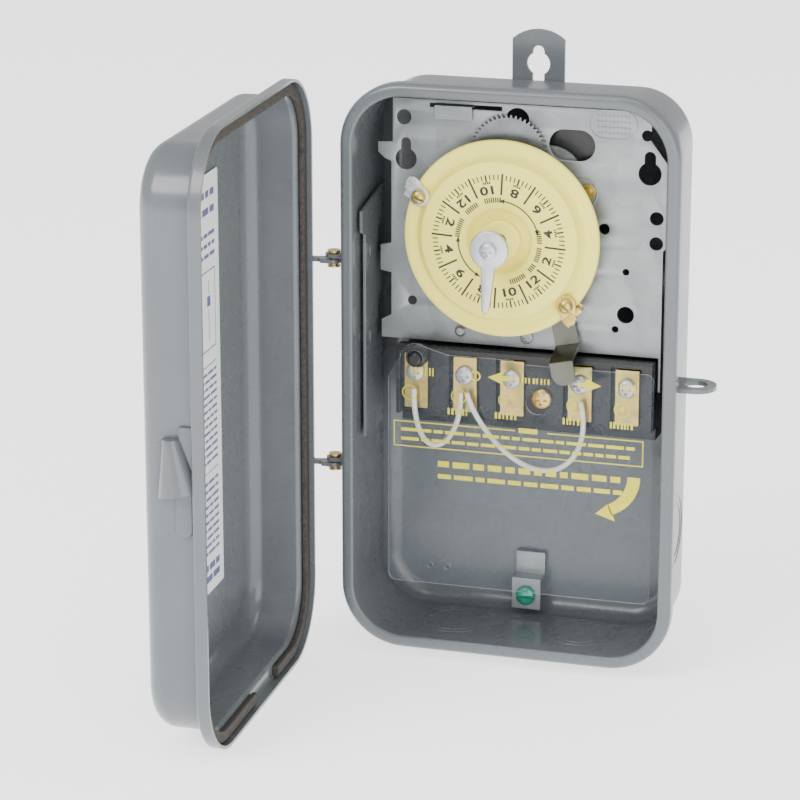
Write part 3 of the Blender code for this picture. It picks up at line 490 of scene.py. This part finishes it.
def printed(name, bars, finish, matrix):
    """Thin ink: each bar is a closed outline filled flat."""
    return flat(name, bars, 0.03, finish, matrix)


def words(x0, x1, z, height, gap=1.6):
    """A line of generic word-shaped bars."""
    bars, x = [], x0
    while x < x1 - 2.0:
        length = min(random.uniform(3.0, 8.0), x1 - x)
        bars.append(rectangle(x, z, x + length, z + height))
        x += length + gap
    return bars


def strokes(x0, x1, z, height):
    """Upright strokes at letter spacing, for print that carries no words."""
    bars, x = [], x0
    while x < x1:
        bars.append(rectangle(x, z, x + random.uniform(0.5, 1.0), z + height))
        x += random.uniform(1.2, 1.7)
    return bars


def frame_bars(x0, z0, x1, z1, width, gap=None):
    """An outlined box, whose top line can have a gap."""
    bars = [rectangle(x0, z0, x1, z0 + width), rectangle(x0, z0 + width, x0 + width, z1 - width),
            rectangle(x1 - width, z0 + width, x1, z1 - width)]
    if gap:
        return bars + [rectangle(x0, z1 - width, gap[0], z1),
                       rectangle(gap[1], z1 - width, x1, z1)]
    return bars + [rectangle(x0, z1 - width, x1, z1)]


def door_label():
    """Paper with generic print: heading bars, a plain circuit sketch and lines of text."""
    low, high = (-27.0, -78.0), (54.0, 86.0)
    left, right = -22, 49          # edges of the print
    depth = DOOR_FACE_Y + SHEET + 0.3
    paper = flat("door_paper", [rounded(low[0], low[1], high[0], high[1], 1.0, 3)], 0.3,
                 "white_paper", Matrix.Translation(at(0, depth + 0.3, 0)) @ FRONT)
    keep(paper, "door", "white_paper", "door_label", door=True)
    bars = []
    for z in (77.0, 70.5):
        bars += words(left, right, z, 2.6)
    for z in (62.0, 58.0, 54.0):
        bars += words(left, right, z, 1.5, 1.1)
    bars += frame_bars(left, 18, right, 49, 0.5)
    for x in (-14, 0, 14, 28, 42):
        bars += [rectangle(x - 0.3, 22, x + 0.3, 34), rectangle(x - 2.0, 35, x + 2.0, 39),
                 rectangle(x - 0.3, 40, x + 0.3, 45)]
    bars += [rectangle(left, 12.0, right, 12.4), rectangle(left, -30.0, right, -29.6)]
    for i in range(13):
        bars += words(left, right, 8.6 - 2.9 * i, 1.1, 0.9)
    for i in range(10):
        bars += words(left, right, -34.5 - 3.1 * i, 1.2, 0.9)
    for z in (-69.0, -73.5):
        bars += words(left, 40, z, 2.6, 1.2)
    ink = printed("door_label_print", bars, "blue_ink",
                  Matrix.Translation(at(0, depth + 0.3 + LIFT, 0)) @ FRONT)
    keep(ink, "door", "white_paper", door=True)


def latch():
    """Spring clip: hook tab, flared half-cone hood for the padlock, and finger tongue."""
    rim = SKIRT_EDGE_Y
    outline = ([(rim - 11.2, 12.0), (rim - 11.2, 7.0), (rim - 12.8, -8.0)]
               + arc(rim - 9.65, -26.4, 3.15, 180, 360, 14)
               + [(rim - 6.5, -8.0), (rim - 4.7, 5.0), (rim - 4.7, 12.0)])
    side = Matrix.Rotation(math.radians(90), 4, "Z") @ FRONT
    strip = flat("latch_clip", [outline], 1.2, "grey_enamel",
                 Matrix.Translation(at(LATCH_X, 0, 0)) @ side, 0.3)
    rows, columns = 14, 24
    work = bmesh.new()
    grid = []
    for i in range(rows + 1):
        v = i / rows
        left, right = rim - (17.0 + 1.7 * v), rim - (11.0 - 7.0 * v)
        rise = 3.2 + 2.9 * v
        row = []
        for j in range(columns + 1):
            u = j / columns
            y = left + (right - left) * (0.5 - 0.5 * math.cos(math.pi * u))
            z = 7.0 + (-15.0 + 4.2 * u - 7.0) * v
            row.append(work.verts.new(at(LATCH_X + 0.3 + rise * math.sin(math.pi * u), y, z)))
        grid.append(row)
    for near, far in zip(grid, grid[1:]):
        for j in range(columns):
            work.faces.new((near[j], near[j + 1], far[j + 1], far[j]))
    work.faces.new(grid[0])
    bmesh.ops.recalc_face_normals(work, faces=work.faces)
    mesh = bpy.data.meshes.new("latch_hood")
    work.to_mesh(mesh)
    work.free()
    hood = place("latch_hood", mesh, "grey_enamel")
    skin = hood.modifiers.new("Sheet", "SOLIDIFY")
    skin.thickness, skin.offset = 0.9 * MM, 0.0
    bake(hood)
    keep(merge(strip, hood), "latch", "grey_enamel", "door_latch", door=True)


# ---------------------------------------------------------------- mechanism

def polar(angle, radius):
    turn = math.radians(angle)
    return radius * math.cos(turn), radius * math.sin(turn)


def plate():
    outline = [(-50.8, PLATE_TOP), (-50.8, 87.4), (-56.7, 87.0), (-56.7, 83.0), (-54.0, 80.5),
               (-51.4, 79.5), (-51.4, 47.0), (-55.8, 46.0), (-55.8, 35.8), (-51.4, 35.0),
               (-51.4, 18.0), (-55.4, 15.8), (-55.4, 8.6), (55.8, 8.6), (55.8, -5.0),
               (56.8, -5.0), (56.8, 51.0), (57.8, 52.0), (57.8, 85.2), (51.2, 93.8)]
    outline += arc(49.7, 95.6, 2.1, -50, -310, 18)
    outline += [(51.4, 97.6), (51.4, 101.8), (48.0, PLATE_TOP)]
    holes = [circle(-46.2, 97.3, 2.9), keyhole(-45.4, 80.8, 4.2, 1.9, 89.2),
             circle(-1.0, 98.8, 4.5), obround(20.5, 90.1, 18.0, 12.0),
             keyhole(51.0, 80.9, 4.4, 2.1, 89.5), circle(33.6, 58.3, 2.1), circle(54.0, 63.7, 2.6),
             circle(54.0, 53.9, 2.6), circle(42.4, 41.9, 1.3), circle(42.6, 24.9, 3.3),
             circle(38.6, 18.9, 1.3), circle(-42.8, 24.4, 1.8),
             rectangle(-35.9, 101.8, -7.2, 103.4)]
    sheet = flat("mounting_plate", [outline] + holes, PLATE_T, "galvanised_steel",
                 front_at(0, 0, -PLATE_T), 0.18)
    keep(sheet, "case", "galvanised_steel", "mechanism_plate")
    border = [obround(36.5, 99.0, 19.0, 11.5), obround(36.5, 99.0, 18.0, 10.5)]
    marks = [flat("plate_stamp", border,
                  0.35, "galvanised_steel", front_at(0, 0))]
    for row in range(4):
        for column in range(9):
            x, z = 30.5 + 1.5 * column, 95.6 + 2.2 * row
            marks.append(flat("stamp_dot", [circle(x, z, 0.45, 8)], 0.4, "galvanised_steel",
                              front_at(0, 0)))
    for i, x in enumerate((31.5, 34.4, 37.2, 40.4, 43.0)):
        marks.append(flat("stamp_bar", [rectangle(x, 69.6, x + 1.5, 70.0 if i % 2 else 71.6)],
                          0.1, "galvanised_steel", front_at(0, 0)))
    ring = [(6.2 + 0.35 * math.cos(a), 0.25 * math.sin(a))
            for a in (math.radians(40 * i) for i in range(9))]
    marks.append(turned("stud_boss", ring, "galvanised_steel", front_at(*STUD_BOSS), 72))
    keep(merge(*marks), "case", "galvanised_steel")
    keep(cross_head("boss_screw", 2.6, 1.0, "galvanised_steel", front_at(*FRAME_SCREW, 0.1)),
         "case", "galvanised_steel")


def dial():
    """Stamped dial with a rolled rim, a groove, a raised band and a sunk middle."""
    front = [(5.0, 7.2), (10.6, 7.2), (11.4, 7.5), (12.9, 11.4), (13.8, BAND_H), (29.6, BAND_H),
             (30.9, 11.6), (32.9, 8.2), (33.8, 7.6), (34.8, 7.7), (35.8, 8.3), (37.6, 8.3),
             (38.4, 8.0), (DIAL_R, 7.4)]
    back = [(max(r - 0.3, 5.0), h - 1.0) for r, h in reversed(front)]
    back[0] = (DIAL_R - 0.1, 6.9)
    keep(turned("dial_face", front + back, "cream_enamel", front_at(DIAL_X, DIAL_Z), 144),
         "dial", "cream_enamel", "clock_dial")


def tick(angle, inner, outer, width):
    ux, uy = polar(angle, 1.0)
    return [(ux * r - uy * s * width / 2, uy * r + ux * s * width / 2)
            for r, s in ((inner, -1), (outer, -1), (outer, 1), (inner, 1))]


def curved_arrow(radius, start, end, width, head):
    """A line along an arc with an arrowhead at both ends."""
    body = arc(0, 0, radius + width / 2, start, end, 24) + arc(
        0, 0, radius - width / 2, end, start, 24)
    loops = [body]
    for angle, way in ((start, -1), (end, 1)):
        tip = polar(angle + way * math.degrees(head / radius), radius)
        loops.append([polar(angle, radius - head * 0.4), polar(angle, radius + head * 0.4), tip])
    return loops


def numeral(text, size, wide, matrix, finish):
    curve = bpy.data.curves.new("numeral", "FONT")
    curve.body, curve.size, curve.offset = text, size, INK_SPREAD
    curve.align_x, curve.align_y, curve.extrude = "CENTER", "CENTER", 0.015
    drawn = bpy.data.objects.new("numeral_text", curve)
    bpy.context.scene.collection.objects.link(drawn)
    mesh = evaluated(drawn)
    bpy.data.objects.remove(drawn, do_unlink=True)
    mesh.transform(Matrix.Diagonal((wide * MM, MM, MM, 1.0)))
    return place("numeral", mesh, finish, matrix)


def dial_print():
    """Quarter-hour ticks, two-hour lines, hour numbers and plain direction arrows."""
    face = front_at(DIAL_X, DIAL_Z, BAND_H + LIFT)
    bars = []
    for i in range(96):
        if i % 8:
            long = i % 4 == 0
            inner, width = (23.5, 0.65) if long else (24.0, 0.45)
            bars.append(tick(POINTER_ANGLE + QUARTER_HOUR * i, inner, 26.2, width))
        else:
            bars.append(tick(POINTER_ANGLE + QUARTER_HOUR * i, 18.3, 26.6, 0.75))
    bars += curved_arrow(16.0, 20, 82, 0.5, 2.2) + curved_arrow(16.0, 184, 236, 0.5, 2.2)
    for first, last in ((88, 112), (122, 142), (152, 178), (-72, -50), (-40, -30), (-24, -4),
                        (2, 18)):
        bars += [tick(angle, 15.3, 17.3, 0.5) for angle in range(first, last, 3)]
    for i in range(12):
        bars += [tick(-78 + 30 * i + shift, 22.6, 23.4, 0.55) for shift in (-3, -1, 1, 3)]
    pieces = [flat("dial_print", [bar], 0.03, "black_ink", face) for bar in bars]
    for i, number in enumerate((10, 12, 2, 4, 6, 8, 10, 12, 2, 4, 6, 8)):
        angle = -78 + 30 * i
        x, z = polar(angle, 20.3)
        turn = Matrix.Rotation(math.radians(angle + 90), 4, "Z")
        pieces.append(numeral(str(number), 4.5, 1.45, face @ Matrix.Translation(at(x, z, 0))
                              @ turn, "black_ink"))
    keep(merge(*pieces), "dial", "cream_enamel")


def cross_head(name, radius, height, finish, matrix, slot=False):
    """Pan-head screw with a cross recess, or with one slot."""
    dome = [(0, height)] + [(radius * math.sin(a), height * (0.35 + 0.65 * math.cos(a)))
                            for a in (math.radians(9 * i) for i in range(1, 10))]
    head = turned(name, dome + [(radius, 0), (0, 0)], finish, matrix, 40)
    long, wide = (radius * 1.2, radius * 0.16) if slot else (radius * 0.6, radius * 0.18)
    low, high = height * 0.35, height * 2
    bars = [block("recess_a", (-long, -wide, low), (long, wide, high), None, matrix, 0)]
    if not slot:
        bars.append(block("recess_b", (-wide, -long, low), (wide, long, high), None, matrix, 0))
    return cut(head, *bars)


def pointer():
    disc_r, length, wide, narrow = 7.5, 25.7, 2.7, 1.8
    neck = math.degrees(math.asin(wide / disc_r))
    outline = arc(0, 0, disc_r, neck, 360 - neck, 60) + [
        (13.0, -2.3), (20.0, -narrow), (length - 2.0, -1.5), (length, 0.0), (length - 2.0, 1.5),
        (20.0, narrow), (13.0, 2.3)]
    blade = front_at(DIAL_X, DIAL_Z, POINTER_H) @ Matrix.Rotation(
        math.radians(POINTER_ANGLE), 4, "Z")
    keep(flat("pointer_blade", [outline], 2.2, "zinc_casting", blade, 0.6), "case",
         "zinc_casting", "time_pointer")
    screw = cross_head("pointer_cap", 3.3, 2.2, "zinc_casting",
                       front_at(DIAL_X, DIAL_Z, POINTER_H + 2.5))
    keep(screw, "case", "galvanised_steel", "pointer_screw")


def tripper(name, angle, finish, body, slot_name):
    """Teardrop clamp with a ribbed thumb lug, a web round the rim and a foot behind it."""
    local = front_at(DIAL_X, DIAL_Z) @ Matrix.Rotation(math.radians(angle), 4, "Z")
    outline = (arc(40.0, -3.2, 2.9, -130, 50, 16) + arc(35.6, 0.0, 4.0, 60, 150, 12)
               + [(30.6, 1.8), (30.4, 0.6)] + arc(35.6, 0.0, 4.0, 215, 265, 8))
    pieces = [flat(name, [outline], 1.4, finish, local @ Matrix.Translation(at(0, 0, 8.7)), 0.35),
              block("web", (39.1, -3.2, 4.7), (41.6, 2.6, 9.2), finish, local),
              block("foot", (33.6, -3.2, 4.7), (40.4, 3.2, 5.8), finish, local)]
    for i in range(5):
        low = -5.6 + 1.1 * i
        pieces.append(block("rib", (38.6, low, 9.9), (42.4, low + 0.5, 10.5), finish, local,
                            0.15))
    keep(merge(*pieces), body, slot_name, body_node(body))
    knob = cross_head(name + "_knob", 2.9, 3.0, "brass",
                      local @ Matrix.Translation(at(35.6, 0, 10.2)), slot=True)
    keep(knob, body, "brass", body_node(body) + "_screw")


def body_node(body):
    return {"off_trip": "off_tripper", "on_trip": "on_tripper"}[body]


# ---------------------------------------------------------------- terminals

def screws():
    for label, x in TERMINALS.items():
        head = cross_head(f"strap_screw_{label}", 3.7, 2.4, "zinc_casting",
                          Matrix.Translation(at(x, STRAP_Y - 0.3, STRAP_SCREW_Z)) @ FRONT)
        keep(head, "case", "galvanised_steel", f"terminal_screw_{label}")
    head = cross_head("block_screw_head", 4.0, 2.4, "brass",
                      Matrix.Translation(at(BLOCK_SCREW[0], -36.3, BLOCK_SCREW[1])) @ FRONT)
    keep(head, "case", "brass", "block_screw")
    head = cross_head("bonding_screw", 4.0, 2.6, "green_enamel",
                      Matrix.Translation(at(0, -11.8, -100.0)) @ FRONT, slot=True)
    keep(head, "case", "green_enamel", "ground_screw")


def shield():
    left, right, bottom, ear = -48.2, 57.4, -87.0, (-37.5, 5.0)
    outline = (arc(*ear, 6.0, 60, 180, 20) + [(left, -3.0)]
               + arc(left + 3, bottom + 3, 3, 180, 270, 10)
               + arc(right - 3, bottom + 3, 3, 270, 360, 10)
               + arc(right - 3, 3.0, 3, 0, 90, 10) + [(2.0, 6.0), (2.0, 7.4), (-24.5, 7.4)])
    holes = [circle(*ear, 3.2), circle(-31.0, -79.5, 1.2), circle(-24.0, -79.5, 1.2),
             circle(*BLOCK_SCREW, 4.6)]
    sheet = flat("shield_sheet", [outline] + holes, SHIELD_T, "clear_plastic",
                 Matrix.Translation(at(0, SHIELD_Y, 0)) @ FRONT)
    # Faces that do not face the viewer take the lighter copy: a painted highlight along every cut edge and hole.
    sheet.data.materials.append(MATERIALS["clear_edge_highlight"])
    for face in sheet.data.polygons:
        face.material_index = 0 if abs(face.normal.y) > 0.9 else 1
    keep(sheet, "shield", "clear_plastic", "terminal_shield")


def shield_print():
    """Generic yellow print: outlined box, word bars, arrows and terminal numbers."""
    face = Matrix.Translation(at(0, SHIELD_Y - SHIELD_T - LIFT, 0)) @ FRONT
    bars = frame_bars(-46, -31, 54, -20.5, 0.45, (3, 16))
    bars += words(4.5, 15, -21.5, 2.0, 1.0)
    bars += words(-43, 51, -24.6, 1.3, 0.9) + words(-43, 51, -28.4, 1.3, 0.9)
    bars += words(-28, 46, -38.2, 2.4, 1.5) + words(-28, 46, -43.0, 1.8, 1.2)
    bars += [[(-8, 0), (-2, 2.6), (-2, 1.0), (1, 1.0), (1, -1.0), (-2, -1.0), (-2, -2.6)],
             [(37, 0), (31, 2.6), (31, 1.0), (28, 1.0), (28, -1.0), (31, -1.0), (31, -2.6)]]
    bars += strokes(-39, -30, -1.5, 3.2) + strokes(2.5, 16, -1.2, 2.2)
    bars += strokes(43, 50, -1.7, 3.4)
    for x in (-19.6, -0.6, 26.5, 45.2):
        bars += strokes(x - 4.5, x + 4.0, -16.4, 2.6)
    sweep = arc(36, -35.5, 17, -70, 0, 16) + arc(35, -35.5, 13, 0, -66, 16)
    bars += [sweep, [(40.5, -47.0), (43.5, -54.0), (35.5, -51.5)]]
    pieces = [flat("shield_print", [bar], 0.03, "yellow_ink", face) for bar in bars]
    pieces.append(flat("off_mark", [circle(-13.0, 0, 2.1), circle(-13.0, 0, 1.5)], 0.03,
                       "yellow_ink", face))
    for label, x in TERMINALS.items():
        pieces.append(flat("ring", [circle(x, -8.8, 3.1), circle(x, -8.8, 2.7)], 0.03,
                           "yellow_ink", face))
        if label != "a":
            pieces.append(numeral(label, 3.6, 1.0, face @ Matrix.Translation(at(x, -8.8, 0)),
                                  "yellow_ink"))
    keep(merge(*pieces), "shield", "clear_plastic")


def bowed(corners, steps):
    """Points of a hanging lead: a smooth curve drawn towards five corners."""
    points = []
    for i in range(steps + 1):
        t = i / steps
        spot = Vector((0, 0, 0))
        for k, corner in enumerate(corners):
            spot += Vector(corner) * (math.comb(4, k) * t ** k * (1 - t) ** (4 - k))
        points.append(spot * MM)
    return points


def lead(name, node, points):
    curve = bpy.data.curves.new(name, "CURVE")
    curve.dimensions = "3D"
    curve.bevel_depth = LEAD_R * MM
    curve.bevel_resolution = 4
    curve.use_fill_caps = True
    spline = curve.splines.new("POLY")
    spline.points.add(len(points) - 1)
    for point, spot in zip(spline.points, points):
        point.co = (*spot, 1.0)
    spline.use_smooth = True
    obj = bpy.data.objects.new(name, curve)
    bpy.context.scene.collection.objects.link(obj)
    curve.materials.append(MATERIALS["white_insulation"])
    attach(obj, "case")
    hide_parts(node)


def leads():
    y = -37.7
    lead("lead_wire_a", "lead_a_to_1",
         bowed([(-39.5, y, -9.0), (-40.0, y, -32.0), (-31.0, y - 1.5, -40.0),
                (-19.5, y, -28.0), (-20.6, y, -9.0)], 36))
    lead("lead_wire_b", "lead_1_to_3",
         bowed([(-18.0, y, -9.0), (-15.0, y, -22.0), (11.0, y - 1.5, -58.0),
                (35.0, y, -36.0), (27.5, y, -9.0)], 44))


# ---------------------------------------------------------------- carried-over nodes

def carry_over():
    """Repaint every CAD node from its slot, and soften the edges of the plain ones."""
    slots = {part["node"]: part["material_slot"] for part in frame["record"]["subparts"]}
    soft_edges = {"hanging_tab": 0.3, "padlock_staple": 0.6, "hinge_arm_upper": 0.4,
                  "hinge_arm_lower": 0.4, "door_ear_upper": 0.4, "door_ear_lower": 0.4,
                  "ground_lug": 0.3, "side_bracket": 0.3, "terminal_block": 0.5,
                  "retaining_clip": 0.2, "manual_lever": 0.25}
    soft_edges.update({f"terminal_strap_{label}": 0.3 for label in TERMINALS})
    for name, node in frame["nodes"].items():
        finish = "lever_steel" if name == "manual_lever" else slots[name]
        node.data.materials.clear()
        node.data.materials.append(MATERIALS[finish])
        if name in soft_edges:
            weld = node.modifiers.new("Weld", "WELD")
            weld.merge_threshold = 0.000002
            edge = node.modifiers.new("Edge", "BEVEL")
            edge.width = soft_edges[name] * MM
            edge.segments = 3
            edge.limit_method = "ANGLE"
            edge.angle_limit = math.radians(40)


# ---------------------------------------------------------------- studio

def studio():
    low = cad_box[0]
    work = bmesh.new()
    bmesh.ops.create_grid(work, x_segments=1, y_segments=1, size=6.0)
    mesh = bpy.data.meshes.new("floor")
    work.to_mesh(mesh)
    work.free()
    floor = bpy.data.objects.new("floor", mesh)
    floor.location.z = low[2] - 0.0005
    bpy.context.scene.collection.objects.link(floor)
    mesh.materials.append(principled("pale_floor", (0.95, 0.95, 0.95), 0.7,
                                     Emission_Color=(1, 1, 1, 1), Emission_Strength=1.5))

    world = bpy.data.worlds.new("studio")
    world.use_nodes = True
    world.node_tree.nodes["Background"].inputs["Color"].default_value = (1, 1, 1, 1)
    world.node_tree.nodes["Background"].inputs["Strength"].default_value = 0.85
    bpy.context.scene.world = world
    aim = Vector((-0.02, -0.03, 0.0))
    for name, spot, size, power in (("key", (-0.9, -1.5, 1.3), 1.0, 28.0),
                                    ("fill", (0.9, -1.6, 0.4), 1.2, 15.0),
                                    ("top", (0.1, -0.5, 1.7), 1.0, 9.0)):
        light = bpy.data.lights.new(name, "AREA")
        light.size, light.energy = size, power
        lamp = bpy.data.objects.new(name, light)
        lamp.location = spot
        lamp.rotation_mode = "QUATERNION"
        lamp.rotation_quaternion = (aim - Vector(spot)).to_track_quat("-Z", "Y")
        bpy.context.scene.collection.objects.link(lamp)

    yaw, pitch, distance = math.radians(16.64), math.radians(16.73), 1.32
    look = Vector((-math.sin(yaw) * math.cos(pitch), math.cos(yaw) * math.cos(pitch),
                   -math.sin(pitch)))
    lens = bpy.data.cameras.new("camera")
    lens.lens, lens.sensor_width = 146.5, 36.0
    camera = bpy.data.objects.new("camera", lens)
    camera.location = at(-56.5, 0.0, -26.0) - look * distance
    camera.rotation_mode = "QUATERNION"
    camera.rotation_quaternion = look.to_track_quat("-Z", "Y")
    bpy.context.scene.collection.objects.link(camera)
    bpy.context.scene.camera = camera


carry_over()
case()
knockouts()
door()
door_label()
latch()
plate()
dial()
dial_print()
pointer()
tripper("off_clamp", 155.0, "zinc_casting", "off_trip", "zinc_casting")
tripper("on_clamp", -42.0, "brass", "on_trip", "brass")
screws()
shield()
shield_print()
leads()
studio()
